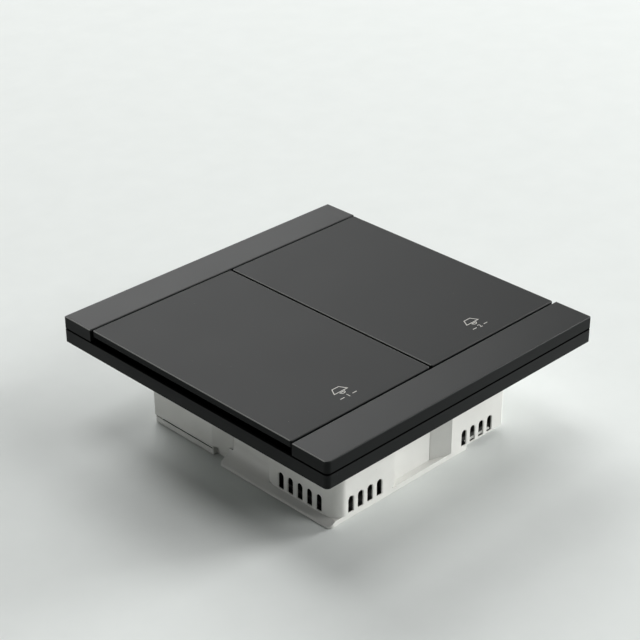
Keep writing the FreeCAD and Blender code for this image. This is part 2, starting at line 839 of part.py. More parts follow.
def spring_pocket_top():
    return rocker_z - rocker_axle_r - fit - 0.75


def make_rocker(side):
    x = side * gang_x
    body = side_prism(at_rocker(rocker_profile()), x - rocker_half_width, x + rocker_half_width)
    through = rocker_half_width + gap
    hole = crosswise(rocker_axle_r + fit, x - through, x + through, mechanism_y, rocker_z)
    pocket = upright(plunger_r + fit, x, mechanism_y, rocker_z - 2 * rocker_bottom, spring_pocket_top())
    return at_rest(body.cut([hole, pocket]))


def make_rocker_axles():
    axles = []
    for side in (-1, 1):
        faces = ear_faces(side)
        axles.append(crosswise(rocker_axle_r, faces[0][0], faces[1][1], mechanism_y, rocker_z))
    return Part.makeCompound(axles)


def make_plunger(side):
    x = side * gang_x
    tip = rocker_z - plunger_reach
    nose = Part.makeSphere(plunger_r, FreeCAD.Vector(x, mechanism_y, tip + plunger_r))
    stem = upright(plunger_r, x, mechanism_y, tip + plunger_r, plunger_top())
    bore = upright(plunger_bore_r, x, mechanism_y, tip + plunger_floor, plunger_top() + 1)
    return at_rest(join([nose, stem]).cut(bore))


def make_plunger_spring(side):
    low = rocker_z - plunger_reach + plunger_floor
    spring = coil(side * gang_x, mechanism_y, low, spring_pocket_top(), plunger_spring_r,
                  plunger_spring_wire_r, plunger_spring_turns)
    return at_rest(spring)


# Contact arm, tilted towards the side that the plunger presses

def arm_at_rest(shape):
    return turned(shape, arm_tilt_deg, mechanism_y, arm_z)


def make_contact_arm(side):
    x = side * gang_x
    low, high = mechanism_y - arm_half_length, mechanism_y + arm_half_length
    strip = box(x - arm_half_width, x + arm_half_width, low, high, arm_z, arm_z + arm_thickness)
    return arm_at_rest(round_edges(strip, 1.0, is_upright))


def make_moving_contacts(side):
    x = side * gang_x
    rivets = [upright(contact_r, x, mechanism_y + end * contact_reach, arm_z - contact_height, arm_z)
              for end in (-1, 1)]
    return arm_at_rest(Part.makeCompound(rivets))


# Bars, contacts and terminals

def bar_tail(place, start_y):
    """Straight run of one bar to its terminal, with the end turned down beside the wire."""
    run = box(place - bar_half_width, place + bar_half_width, start_y, terminal_end_y, bar_z, bar_top_z)
    pad = box(place - clamp_half_width, place + clamp_half_width, terminal_y - clamp_half_width,
              terminal_end_y, bar_z, bar_top_z)
    flap = box(place - clamp_half_width, place + clamp_half_width, terminal_end_y - bar_thickness,
               terminal_end_y, cover_thickness + gap, bar_top_z)
    hole = upright(terminal_screw_r + fit / 2, place, terminal_y, bar_z - 1, bar_top_z + 1)
    return join([run, pad, flap]).cut(hole)


def make_upper_outlet_bar(side):
    x = side * gang_x
    contact_y = mechanism_y + contact_reach
    pad = box(x - pad_half_width, x + pad_half_width, contact_y - pad_half_width,
              contact_y + pad_half_width, bar_z, bar_top_z)
    return join([pad, bar_tail(x, contact_y)])


def make_lower_outlet_bar(side):
    x = side * gang_x
    contact_y = mechanism_y - contact_reach
    tail_x = x - bar_offset
    pad = box(x - pad_half_width, x + pad_half_width, contact_y - pad_half_width,
              contact_y + pad_half_width, bar_z, bar_top_z)
    link = box(tail_x - bar_half_width, x, contact_y - bar_half_width, contact_y + bar_half_width,
               bar_z, bar_top_z)
    return join([pad, link, bar_tail(tail_x, contact_y)])


def make_common_bar(side):
    """Common bar with the upright knife edge that the contact arm rocks on."""
    x = side * gang_x
    tail_x = x + bar_offset
    half = bar_thickness / 2
    link = box(x - bar_half_width, tail_x + bar_half_width, mechanism_y - bar_half_width,
               mechanism_y + bar_half_width, bar_z, bar_top_z)
    knife_z = arm_z - fit
    edge = side_prism([(mechanism_y - half, bar_z), (mechanism_y + half, bar_z),
                       (mechanism_y + half, knife_z - 0.8), (mechanism_y, knife_z),
                       (mechanism_y - half, knife_z - 0.8)],
                      x - arm_half_width - 1.2, x + arm_half_width + 1.2)
    guides = []
    for out in (-1, 1):
        near = x + out * (arm_half_width + 0.3)
        far = x + out * (arm_half_width + 1.2)
        guides.append(box(min(near, far), max(near, far), mechanism_y - half, mechanism_y + half,
                          bar_z, arm_z + 2 * arm_thickness))
    return join([link, edge, bar_tail(tail_x, mechanism_y)] + guides)


def make_fixed_contacts():
    rivets = []
    for side in (-1, 1):
        for end in (-1, 1):
            y = mechanism_y + end * contact_reach
            rivets.append(upright(contact_r, side * gang_x, y, bar_top_z, fixed_contact_z))
    return Part.makeCompound(rivets)


def head_top_z():
    return cover_thickness + fit + terminal_head_height


def wire_middle_y():
    """Middle of the wire's place, between the clamp's leg and the bar's turned-down end."""
    leg = terminal_y + clamp_half_width + clamp_thickness
    return (leg + terminal_end_y - bar_thickness) / 2


def make_terminal_screws():
    screws = []
    for side in (-1, 1):
        for x in terminal_places(side):
            head = upright(terminal_head_r, x, terminal_y, cover_thickness + fit, head_top_z())
            shank_top = head_top_z() + terminal_screw_length
            shank = upright(terminal_screw_r, x, terminal_y, head_top_z(), shank_top)
            slot = box(x - 0.3, x + 0.3, terminal_y - 2, terminal_y + 2, cover_thickness - 1,
                       cover_thickness + 0.6)
            screws.append(join([head, shank]).cut(slot))
    return Part.makeCompound(screws)


def make_terminal_clamps():
    """Six pressure plates: each is pulled up by its screw and grips the wire with its leg."""
    clamps = []
    z0 = head_top_z()
    for side in (-1, 1):
        for x in terminal_places(side):
            low, high = x - clamp_half_width, x + clamp_half_width
            leg_y = terminal_y + clamp_half_width
            plate = box(low, high, terminal_y - clamp_half_width, leg_y + clamp_thickness, z0,
                        z0 + clamp_thickness)
            leg = box(low, high, leg_y, leg_y + clamp_thickness, cover_thickness + gap,
                      z0 + clamp_thickness)
            hole = upright(terminal_screw_r + fit, x, terminal_y, z0 - 1, bar_top_z)
            clamps.append(join([plate, leg]).cut(hole))
    return Part.makeCompound(clamps)


def all_parts():
    parts = {
        "panel_frame": make_panel_frame(),
        "top_strip": make_strip(top_strip_y, half_plate, half_plate - peg_edge_distance),
        "bottom_strip": make_strip(-half_plate, bottom_strip_y, -half_plate + peg_edge_distance),
        "mounting_yoke": make_mounting_yoke(),
        "yoke_screws": make_yoke_screws(),
        "housing_shell": make_housing_shell(),
        "base_cover": make_base_cover(),
        "cover_screws": make_cover_screws(),
        "rocker_axles": make_rocker_axles(),
        "fixed_contacts": make_fixed_contacts(),
        "terminal_screws": make_terminal_screws(),
        "terminal_clamps": make_terminal_clamps(),
    }
    per_gang = {
        "key": make_key,
        "return_spring": make_return_spring,
        "pusher": make_pusher,
        "pusher_pin": make_pusher_pin,
        "rocker": make_rocker,
        "plunger": make_plunger,
        "plunger_spring": make_plunger_spring,
        "contact_arm": make_contact_arm,
        "moving_contacts": make_moving_contacts,
        "common_bar": make_common_bar,
        "upper_outlet_bar": make_upper_outlet_bar,
        "lower_outlet_bar": make_lower_outlet_bar,
    }
    for name, make in per_gang.items():
        for side, shape in both_gangs(make).items():
            parts[side + "_" + name] = shape
    return parts


os.makedirs("parts", exist_ok=True)
for name, shape in all_parts().items():
    if not shape.isValid():
        print("not valid:", name)
    shape.exportStep("parts/" + name + ".step")
    print(f"{name}: {len(shape.Solids)} solid(s), {shape.Volume:.1f} cubic mm")
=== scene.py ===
# %% [markdown]
# A two-gang wall switch, photographed on a pale table before it goes into its wall box.
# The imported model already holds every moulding, spring and screw at its real size. This lesson gives
# each of them its finish, prints the small marks on the two keys, and sets up the camera and the light.
# Lengths are metres, +Z points out of the face, and the back of the switch lies on the floor at zero.

# %% Load the switch
import json
import math

import bpy
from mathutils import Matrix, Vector


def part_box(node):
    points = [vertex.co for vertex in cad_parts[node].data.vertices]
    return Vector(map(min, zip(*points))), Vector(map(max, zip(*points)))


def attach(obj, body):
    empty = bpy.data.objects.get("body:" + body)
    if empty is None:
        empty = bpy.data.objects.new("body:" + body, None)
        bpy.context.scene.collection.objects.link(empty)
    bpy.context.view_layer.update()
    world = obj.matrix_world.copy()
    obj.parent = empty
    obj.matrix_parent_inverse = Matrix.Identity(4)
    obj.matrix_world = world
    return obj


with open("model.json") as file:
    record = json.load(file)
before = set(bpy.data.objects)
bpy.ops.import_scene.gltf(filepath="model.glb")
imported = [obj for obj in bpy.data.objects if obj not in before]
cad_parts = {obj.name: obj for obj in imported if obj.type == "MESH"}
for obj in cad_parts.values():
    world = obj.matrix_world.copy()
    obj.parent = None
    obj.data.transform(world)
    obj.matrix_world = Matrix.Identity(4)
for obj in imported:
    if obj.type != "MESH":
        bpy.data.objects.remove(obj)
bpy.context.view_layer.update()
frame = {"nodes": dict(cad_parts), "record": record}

# %% [markdown]
# The photographer stood in front of the near left corner and looked down by about 29 degrees, through a
# long lens. A long lens keeps the edges of the plate almost parallel, so the camera stands about 40 cm
# away and sees a narrow angle. The place and the turn were worked out from the four corners of the
# plate, which is a square of 86 mm.

# %% Camera
CAMERA_PLACE = (-0.24639, -0.24689, 0.22236)
CAMERA_TILT_DEG = 60.957
CAMERA_ROLL_DEG = 0.129
CAMERA_TURN_DEG = -44.730
LENS_MM = 97.14
SENSOR_MM = 36.0
CLIP_START = 0.01


def radians(*degrees):
    return [math.radians(value) for value in degrees]


bpy.ops.object.camera_add(location=CAMERA_PLACE,
                          rotation=radians(CAMERA_TILT_DEG, CAMERA_ROLL_DEG, CAMERA_TURN_DEG))
camera = bpy.context.object
camera.name = "photo_camera"
camera.data.lens = LENS_MM
camera.data.sensor_width = SENSOR_MM
camera.data.clip_start = CLIP_START
bpy.context.scene.camera = camera
bpy.context.scene.view_settings.view_transform = "Standard"
print("camera at", CAMERA_PLACE, "with a lens of", LENS_MM, "mm")

# %% [markdown]
# Materials are built from nodes. A few small helpers keep that readable: one starts a material, one
# adds a node with its settings, and one sets its sockets. Patterns read Object coordinates, which are
# real metres here, so a scale of 1000 means one feature per millimetre.

# %% Helpers for materials
PER_MM = 1000.0


def start_finish(name):
    """A new material, and its node tree with a plain Principled shader in it."""
    finish = bpy.data.materials.new(name)
    finish.use_nodes = True
    return finish, finish.node_tree


def add_node(tree, kind, **settings):
    node = tree.nodes.new(kind)
    for key, value in settings.items():
        setattr(node, key, value)
    return node


def set_inputs(node, **values):
    """Sets sockets by name, with an underscore for each space."""
    for key, value in values.items():
        node.inputs[key.replace("_", " ")].default_value = value
    return node


def object_place(tree):
    return add_node(tree, "ShaderNodeTexCoord").outputs["Object"]


def colour(red, green, blue):
    return (red, green, blue, 1.0)


print("a pattern scale of", PER_MM, "gives one feature per millimetre")

# %% [markdown]
# Several effects are made of small tests: how a surface leans, where it lies, or which of two values is
# larger. Each test is one math node that gives 0 or 1, a fade is a test with a soft border, and those of
# one mask are multiplied, so that all of them must hold.

# %% Helpers for masks
def combine(tree, operation, first, second):
    node = add_node(tree, "ShaderNodeMath", operation=operation)
    tree.links.new(first, node.inputs[0])
    tree.links.new(second, node.inputs[1])
    return node.outputs["Value"]


def multiply(tree, factors):
    result = factors[0]
    for factor in factors[1:]:
        result = combine(tree, "MULTIPLY", result, factor)
    return result


def test_value(tree, source, operation, limit):
    node = add_node(tree, "ShaderNodeMath", operation=operation)
    node.inputs[1].default_value = limit
    tree.links.new(source, node.inputs[0])
    return node.outputs["Value"]


def size_of(tree, source):
    node = add_node(tree, "ShaderNodeMath", operation="ABSOLUTE")
    tree.links.new(source, node.inputs[0])
    return node.outputs["Value"]


def fade(tree, source, start=0.0, end=1.0, first=0.0, last=1.0):
    """Goes from first to last while the source goes from start to end."""
    node = add_node(tree, "ShaderNodeMapRange")
    set_inputs(node, From_Min=start, From_Max=end, To_Min=first, To_Max=last)
    tree.links.new(source, node.inputs["Value"])
    return node.outputs["Result"]


def split(tree, source):
    """The X, Y and Z of a place or of a normal."""
    node = add_node(tree, "ShaderNodeSeparateXYZ")
    tree.links.new(source, node.inputs["Vector"])
    return node.outputs


print("materials before the first finish:", len(bpy.data.materials))

# %% [markdown]
# The finishes share five effects, so each effect is a node group that is built once. The first is the
# fine spark-eroded grain that the steel mould leaves on plastic. It gives a height for the bump and a
# tint that breaks up the flat colour a little.

# %% Group for moulded grain
FLOAT = "NodeSocketFloat"
VECTOR = "NodeSocketVector"
GRAINS_PER_METRE = 8.0 * PER_MM
TINT_CLOUDS_PER_METRE = 0.09 * PER_MM
TINT_SPREAD = {"start": 0.3, "end": 0.7}


def make_group(name, inputs, outputs):
    """Each input is (label, kind, default value), and each output is (label, kind)."""
    group = bpy.data.node_groups.new(name, "ShaderNodeTree")
    for label, kind, value in inputs:
        socket = group.interface.new_socket(label, in_out="INPUT", socket_type=kind)
        if value is not None:
            socket.default_value = value
    for label, kind in outputs:
        group.interface.new_socket(label, in_out="OUTPUT", socket_type=kind)
    return group, group.nodes.new("NodeGroupInput"), group.nodes.new("NodeGroupOutput")


def make_moulded_grain():
    group, given, made = make_group(
        "moulded_grain",
        [("Place", VECTOR, None), ("Grains per metre", FLOAT, GRAINS_PER_METRE)],
        [("Height", FLOAT), ("Tint", FLOAT)])
    fine = add_node(group, "ShaderNodeTexNoise")
    set_inputs(fine, Detail=3.0, Roughness=0.6)
    cloud = add_node(group, "ShaderNodeTexNoise")
    set_inputs(cloud, Scale=TINT_CLOUDS_PER_METRE, Detail=4.0, Roughness=0.55)
    links = group.links
    links.new(given.outputs["Place"], fine.inputs["Vector"])
    links.new(given.outputs["Grains per metre"], fine.inputs["Scale"])
    links.new(given.outputs["Place"], cloud.inputs["Vector"])
    links.new(fine.outputs["Fac"], made.inputs["Height"])
    links.new(fade(group, cloud.outputs["Fac"], **TINT_SPREAD), made.inputs["Tint"])
    return group


grain_group = make_moulded_grain()
print("group", grain_group.name, "with", len(grain_group.nodes), "nodes")

# %% [markdown]
# The second effect is dust: a few pale specks, each well under a tenth of a millimetre. Voronoi cells
# give the places, and a random value per cell decides which cells hold a speck at all.

# %% Group for dust
DUST_CELLS_PER_METRE = 0.9 * PER_MM
DUST_SHARE = 0.12
SPECK_SIZE = 0.05


def make_dust():
    group, given, made = make_group(
        "settled_dust",
        [("Place", VECTOR, None), ("Cells per metre", FLOAT, DUST_CELLS_PER_METRE),
         ("Share", FLOAT, DUST_SHARE), ("Speck size", FLOAT, SPECK_SIZE)],
        [("Mask", FLOAT)])
    cells = add_node(group, "ShaderNodeTexVoronoi")
    cell_values = add_node(group, "ShaderNodeSeparateColor")
    links = group.links
    links.new(given.outputs["Place"], cells.inputs["Vector"])
    links.new(given.outputs["Cells per metre"], cells.inputs["Scale"])
    links.new(cells.outputs["Color"], cell_values.inputs["Color"])
    near = combine(group, "LESS_THAN", cells.outputs["Distance"], given.outputs["Speck size"])
    chosen = combine(group, "LESS_THAN", cell_values.outputs["Red"], given.outputs["Share"])
    links.new(multiply(group, [near, chosen]), made.inputs["Mask"])
    return group


dust_group = make_dust()
print("group", dust_group.name, "with", len(dust_group.nodes), "nodes")

# %% [markdown]
# The third effect is for metal: long faint lines from rolling or drawing, and a cloudy change of tone
# from the plating. The lines are a noise that is stretched along one axis.

# %% Group for worked metal
LINES_PER_METRE = 6.0 * PER_MM
LINE_STRETCH = (1.0, 0.06, 1.0)
PLATING_CLOUDS_PER_METRE = 0.5 * PER_MM


def make_worked_metal():
    group, given, made = make_group(
        "worked_metal",
        [("Place", VECTOR, None), ("Lines per metre", FLOAT, LINES_PER_METRE)],
        [("Lines", FLOAT), ("Clouds", FLOAT)])
    stretch = add_node(group, "ShaderNodeMapping")
    set_inputs(stretch, Scale=LINE_STRETCH)
    lines = add_node(group, "ShaderNodeTexNoise")
    set_inputs(lines, Detail=2.0)
    clouds = add_node(group, "ShaderNodeTexNoise")
    set_inputs(clouds, Scale=PLATING_CLOUDS_PER_METRE, Detail=5.0, Roughness=0.65)
    links = group.links
    links.new(given.outputs["Place"], stretch.inputs["Vector"])
    links.new(stretch.outputs["Vector"], lines.inputs["Vector"])
    links.new(given.outputs["Lines per metre"], lines.inputs["Scale"])
    links.new(given.outputs["Place"], clouds.inputs["Vector"])
    links.new(lines.outputs["Fac"], made.inputs["Lines"])
    links.new(clouds.outputs["Fac"], made.inputs["Clouds"])
    return group


metal_group = make_worked_metal()
print("group", metal_group.name, "with", len(metal_group.nodes), "nodes")

# %% [markdown]
# The fourth effect sorts a moulding of the plate by its own normal and place, for painted light. The
# rounded upper edges lean between level and upright: they get a painted highlight, paler than the faces,
# weaker where they lean to the back, and none where they lean to the front. The upright sides get
# painted shade and mirror less, and the thin parting line between the two mouldings gets painted
# shade.

# %% Group for painted light on edges and sides
PARTING_Z = 0.0265
PARTING_HALF = 0.00024
RISE_FROM_UPRIGHT = {"start": 0.15, "end": 0.35, "first": 0.0, "last": 1.0}
FALL_TO_LEVEL = {"start": 0.93, "end": 0.99, "first": 1.0, "last": 0.0}
FALL_TO_FRONT = {"start": -0.4, "end": -0.1, "first": 0.0, "last": 1.0}
FALL_TO_BACK = {"start": 0.1, "end": 0.4, "first": 1.0, "last": 0.4}
UPRIGHT_ONLY = {"start": 0.1, "end": 0.4, "first": 1.0, "last": 0.0}


def make_edges_and_sides():
    group, given, made = make_group("edges_and_sides", [("Place", VECTOR, None)],
                                    [("Edges", FLOAT), ("Sides", FLOAT), ("Parting", FLOAT)])
    lean = split(group, add_node(group, "ShaderNodeTexCoord").outputs["Normal"])
    height = split(group, given.outputs["Place"])["Z"]
    # painted highlight on the rounded upper edges, by their lean
    edges = [fade(group, lean["Z"], **RISE_FROM_UPRIGHT), fade(group, lean["Z"], **FALL_TO_LEVEL),
             fade(group, lean["Y"], **FALL_TO_FRONT), fade(group, lean["Y"], **FALL_TO_BACK)]
    # painted shade in the thin parting line between the two mouldings
    parting = [test_value(group, height, "GREATER_THAN", PARTING_Z - PARTING_HALF),
               test_value(group, height, "LESS_THAN", PARTING_Z + PARTING_HALF)]
    group.links.new(multiply(group, edges), made.inputs["Edges"])
    # painted shade on the upright sides
    group.links.new(fade(group, lean["Z"], **UPRIGHT_ONLY), made.inputs["Sides"])
    group.links.new(multiply(group, parting), made.inputs["Parting"])
    return group


painted_light_group = make_edges_and_sides()
print("group", painted_light_group.name, "with", len(painted_light_group.nodes), "nodes")

# %% [markdown]
# The fifth effect paints shade on the inside of the housing, by its place. Hardly any light gets in there,
# so its walls are painted near black, and they look black through the vent slots. Beside the bays
# the outer wall lies further in, so the mask is a cross of two boxes: one that ends before the bays,
# and one for the four corner blocks, without their rounded outer corners.

# %% Group for painted shade inside the housing
INSIDE_X = 0.0253
INSIDE_Y = 0.0280
BLOCK_X = 0.0279
BLOCK_Y = 0.0306
BLOCK_FROM = 0.0098
BLOCK_CORNER = 0.0555
INSIDE_FOOT_Z = 0.0015
INSIDE_TOP_Z = 0.0228


def make_inside_shade():
    group, given, made = make_group("painted_shade_inside_housing", [("Place", VECTOR, None)], [("Mask", FLOAT)])
    place = split(group, given.outputs["Place"])
    across = size_of(group, place["X"])
    along = size_of(group, place["Y"])
    corner = combine(group, "ADD", across, along)
    middle = [test_value(group, across, "LESS_THAN", INSIDE_X),
              test_value(group, along, "LESS_THAN", INSIDE_Y)]
    block = [test_value(group, across, "LESS_THAN", BLOCK_X),
             test_value(group, along, "LESS_THAN", BLOCK_Y),
             test_value(group, corner, "LESS_THAN", BLOCK_CORNER),
             test_value(group, across, "GREATER_THAN", BLOCK_FROM),
             test_value(group, along, "GREATER_THAN", BLOCK_FROM)]
    either = combine(group, "MAXIMUM", multiply(group, middle), multiply(group, block))
    above = test_value(group, place["Z"], "GREATER_THAN", INSIDE_FOOT_Z)
    below = test_value(group, place["Z"], "LESS_THAN", INSIDE_TOP_Z)
    group.links.new(multiply(group, [either, above, below]), made.inputs["Mask"])
    return group


inside_shade_group = make_inside_shade()
print("group", inside_shade_group.name, "with", len(inside_shade_group.nodes), "nodes")

# %% [markdown]
# All the mouldings are the same kind of surface with other values: a colour that wanders between two
# close tones, a roughness that wanders with it, the grain as a bump, and a little dust. The mouldings
# of the plate also get a painted highlight on the edges and painted shade on the sides and the parting
# line, and the housing gets painted shade on its inside.

# %% Moulded plastic
MICRON = 1e-6
# Painted light on the plate mouldings: a highlight on the rounded upper edges, shade on the upright sides
# and in the parting line.
EDGE_HIGHLIGHT_TONE = colour(0.24, 0.245, 0.235)
SIDE_SHADE_TONE = colour(0.005, 0.006, 0.006)
PARTING_SHADE_TONE = colour(0.002, 0.002, 0.002)
PLAIN_SPECULAR = 0.5


def place_group(tree, group, place, **values):
    node = add_node(tree, "ShaderNodeGroup")
    node.node_tree = group
    tree.links.new(place, node.inputs["Place"])
    return set_inputs(node, **values)


def mix_colours(tree, share, first, second):
    """Mixes two colours, each given as a socket or as four numbers."""
    node = add_node(tree, "ShaderNodeMix", data_type="RGBA")
    tree.links.new(share, node.inputs["Factor"])
    for name, value in (("A", first), ("B", second)):
        socket = [s for s in node.inputs if s.name == name and s.type == "RGBA"][0]
        if isinstance(value, tuple):
            socket.default_value = value
        else:
            tree.links.new(value, socket)
    return [s for s in node.outputs if s.type == "RGBA"][0]


def add_bump(tree, shader, height, depth):
    bump = add_node(tree, "ShaderNodeBump")
    set_inputs(bump, Strength=1.0, Distance=depth)
    tree.links.new(height, bump.inputs["Height"])
    tree.links.new(bump.outputs["Normal"], shader.inputs["Normal"])


def vary_roughness(tree, shader, source, roughness):
    lowest, highest = roughness
    varied = fade(tree, source, first=lowest, last=highest)
    tree.links.new(varied, shader.inputs["Roughness"])


def make_plastic(slot, dark, light, dust, dust_share, roughness, grain_per_mm, grain_depth,
                 specular=PLAIN_SPECULAR, edge=None, side=None, side_specular=PLAIN_SPECULAR, inside=None):
    """roughness is (lowest, highest), grain_depth is in metres; edge, side and inside are colours."""
    finish, tree = start_finish(slot + "_finish")
    shader = tree.nodes["Principled BSDF"]
    place = object_place(tree)
    grain = place_group(tree, grain_group, place, Grains_per_metre=grain_per_mm * PER_MM)
    specks = place_group(tree, dust_group, place, Share=dust_share)
    body = mix_colours(tree, grain.outputs["Tint"], dark, light)
    shader.inputs["Specular IOR Level"].default_value = specular
    if side:
        # painted highlight on the edges, painted shade on the sides and in the parting line
        parts = place_group(tree, painted_light_group, place).outputs
        body = mix_colours(tree, parts["Edges"], body, edge)
        body = mix_colours(tree, parts["Sides"], body, side)
        body = mix_colours(tree, parts["Parting"], body, PARTING_SHADE_TONE)
        shine = fade(tree, parts["Sides"], first=specular, last=side_specular)
        off_parting = fade(tree, parts["Parting"], first=1.0, last=0.0)
        tree.links.new(multiply(tree, [shine, off_parting]), shader.inputs["Specular IOR Level"])
    # painted shade inside the housing
    if inside:
        within = place_group(tree, inside_shade_group, place)
        body = mix_colours(tree, within.outputs["Mask"], body, inside)
    dusty = mix_colours(tree, specks.outputs["Mask"], body, dust)
    tree.links.new(dusty, shader.inputs["Base Color"])
    vary_roughness(tree, shader, grain.outputs["Tint"], roughness)
    add_bump(tree, shader, grain.outputs["Height"], grain_depth)


# how much paler the painted edge highlight is than the painted side shade
print("a polished edge is", round(EDGE_HIGHLIGHT_TONE[0] / SIDE_SHADE_TONE[0]), "times as pale as a side")

# %% [markdown]
# The keys have the finest satin, the strips mirror a little more, and the frame under them is a plainer
# and blacker moulding. Each has two tones that are close, because the real faces are even. The rounded
# edges of the keys and strips get a painted highlight; the edge of the frame gets none, only the painted
# shade of the sides.

# %% Plastics of the plate
make_plastic("satin_key", dark=colour(0.015, 0.0165, 0.016), light=colour(0.0165, 0.018, 0.0175),
             dust=colour(0.16, 0.16, 0.15), dust_share=0.05, roughness=(0.56, 0.58),
             grain_per_mm=9.0, grain_depth=3.0 * MICRON, specular=0.25,
             edge=EDGE_HIGHLIGHT_TONE, side=SIDE_SHADE_TONE, side_specular=0.1)
make_plastic("satin_strip", dark=colour(0.012, 0.0135, 0.013), light=colour(0.0135, 0.015, 0.0145),
             dust=colour(0.16, 0.16, 0.15), dust_share=0.05, roughness=(0.46, 0.48),
             grain_per_mm=9.0, grain_depth=2.0 * MICRON, specular=0.25,
             edge=EDGE_HIGHLIGHT_TONE, side=SIDE_SHADE_TONE, side_specular=0.1)
make_plastic("frame_black", dark=colour(0.006, 0.007, 0.007), light=colour(0.008, 0.009, 0.009),
             dust=colour(0.10, 0.10, 0.10), dust_share=0.04, roughness=(0.42, 0.50),
             grain_per_mm=7.0, grain_depth=2.0 * MICRON, specular=0.18,
             edge=SIDE_SHADE_TONE, side=SIDE_SHADE_TONE, side_specular=0.12)
print("finishes so far:", [finish.name for finish in bpy.data.materials])

# %% [markdown]
# The housing and its cover are a warm white, a little soiled. Inside, the pushers and plungers are
# natural acetal, which is smooth because it slides, and the rockers are moulded in orange.

# %% Plastics behind the plate
# the inside of the housing is painted near black, as shade
make_plastic("housing_white", dark=colour(0.70, 0.70, 0.665), light=colour(0.76, 0.76, 0.725),
             dust=colour(0.38, 0.36, 0.32), dust_share=0.05, roughness=(0.42, 0.52),
             grain_per_mm=6.0, grain_depth=5.0 * MICRON, inside=colour(0.025, 0.025, 0.022))
make_plastic("acetal_white", dark=colour(0.78, 0.77, 0.73), light=colour(0.82, 0.81, 0.77),
             dust=colour(0.5, 0.48, 0.45), dust_share=0.02, roughness=(0.30, 0.38),
             grain_per_mm=5.0, grain_depth=2.0 * MICRON)
make_plastic("rocker_orange", dark=colour(0.68, 0.27, 0.05), light=colour(0.75, 0.32, 0.07),
             dust=colour(0.5, 0.4, 0.3), dust_share=0.02, roughness=(0.34, 0.42),
             grain_per_mm=5.0, grain_depth=3.0 * MICRON)
print("finishes so far:", [finish.name for finish in bpy.data.materials])

# %% [markdown]
# Metal parts are mostly reflection, so their base colour sets the tint of what they mirror, and the
# roughness says how sharp it is. Rolling lines and cloudy plating keep them from looking like paint.

# %% Metals
def make_metal(slot, dull, bright, roughness, lines_per_mm, line_depth):
    """roughness is (lowest, highest), line_depth is in metres."""
    finish, tree = start_finish(slot + "_finish")
    shader = tree.nodes["Principled BSDF"]
    shader.inputs["Metallic"].default_value = 1.0
    worked = place_group(tree, metal_group, object_place(tree), Lines_per_metre=lines_per_mm * PER_MM)
    tone = mix_colours(tree, worked.outputs["Clouds"], dull, bright)
    tree.links.new(tone, shader.inputs["Base Color"])
    vary_roughness(tree, shader, worked.outputs["Clouds"], roughness)
    add_bump(tree, shader, worked.outputs["Lines"], line_depth)


make_metal("zinc_steel", dull=colour(0.50, 0.51, 0.54), bright=colour(0.72, 0.73, 0.74),
           roughness=(0.25, 0.48), lines_per_mm=4.0, line_depth=4.0 * MICRON)
make_metal("screw_steel", dull=colour(0.52, 0.50, 0.44), bright=colour(0.72, 0.70, 0.63),
           roughness=(0.22, 0.40), lines_per_mm=9.0, line_depth=3.0 * MICRON)
make_metal("clamp_steel", dull=colour(0.46, 0.46, 0.45), bright=colour(0.66, 0.66, 0.65),
           roughness=(0.26, 0.44), lines_per_mm=6.0, line_depth=3.0 * MICRON)
make_metal("spring_steel", dull=colour(0.42, 0.42, 0.42), bright=colour(0.60, 0.60, 0.60),
           roughness=(0.18, 0.30), lines_per_mm=12.0, line_depth=2.0 * MICRON)
make_metal("brass", dull=colour(0.62, 0.43, 0.17), bright=colour(0.80, 0.60, 0.29),
           roughness=(0.22, 0.40), lines_per_mm=6.0, line_depth=3.0 * MICRON)
make_metal("silver_contact", dull=colour(0.74, 0.73, 0.70), bright=colour(0.86, 0.85, 0.83),
           roughness=(0.18, 0.30), lines_per_mm=6.0, line_depth=2.0 * MICRON)
print("finishes so far:", len(bpy.data.materials))

# %% [markdown]
# The record names a finish slot for every sub-part, and each finish carries the name of its slot. Each
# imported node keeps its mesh, and its one material is swapped for the finish of its slot.

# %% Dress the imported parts
def dress(node, slot):
    piece = frame["nodes"][node]
    piece.data.materials.clear()
    piece.data.materials.append(bpy.data.materials[slot + "_finish"])


for part in frame["record"]["subparts"]:
    dress(part["node"], part["material_slot"])

# %% [markdown]
# Each key carries a small printed lamp, and a plain number between two dashes under it. On the real
# face they are pad-printed ink, a few hundredths of a millimetre thick. They are modelled as thin
# raised strokes, which keeps them sharp from close by. The ink is pale and matt, and a fine grain in its
# tone stands for the uneven print.

# %% Sizes and ink of the printed marks
MM = 0.001
STROKE = 0.18 * MM
INK_DEPTH = 0.03 * MM
INK_SINK = 0.01 * MM
SHADE_BASE = 4.3 * MM
SHADE_TOP = 2.1 * MM
SHADE_HEIGHT = 1.9 * MM
SHADE_ABOVE_KEY_EDGE = 7.35 * MM
BULB_RADIUS = 0.8 * MM
BULB_STEPS = 32
LABEL_BELOW_SHADE = 3.15 * MM
NUMBER_SIZE = 1.7 * MM
NUMBER_CURVE_STEPS = 3
WELD_DISTANCE = 0.001 * MM
DASH_LENGTH = 1.25 * MM
DASH_OFFSET = 1.85 * MM
INK_DARK = colour(0.52, 0.515, 0.48)
INK_LIGHT = colour(0.74, 0.73, 0.68)
INK_GRAINS_PER_METRE = 12.0 * PER_MM
INK_ROUGHNESS = (0.55, 0.65)


def make_ink():
    finish, tree = start_finish("key_ink_finish")
    shader = tree.nodes["Principled BSDF"]
    grain = place_group(tree, grain_group, object_place(tree), Grains_per_metre=INK_GRAINS_PER_METRE)
    tone = mix_colours(tree, grain.outputs["Height"], INK_DARK, INK_LIGHT)
    tree.links.new(tone, shader.inputs["Base Color"])
    vary_roughness(tree, shader, grain.outputs["Tint"], INK_ROUGHNESS)
    return finish


key_ink = make_ink()
print("ink strokes are", STROKE / MM, "mm wide")

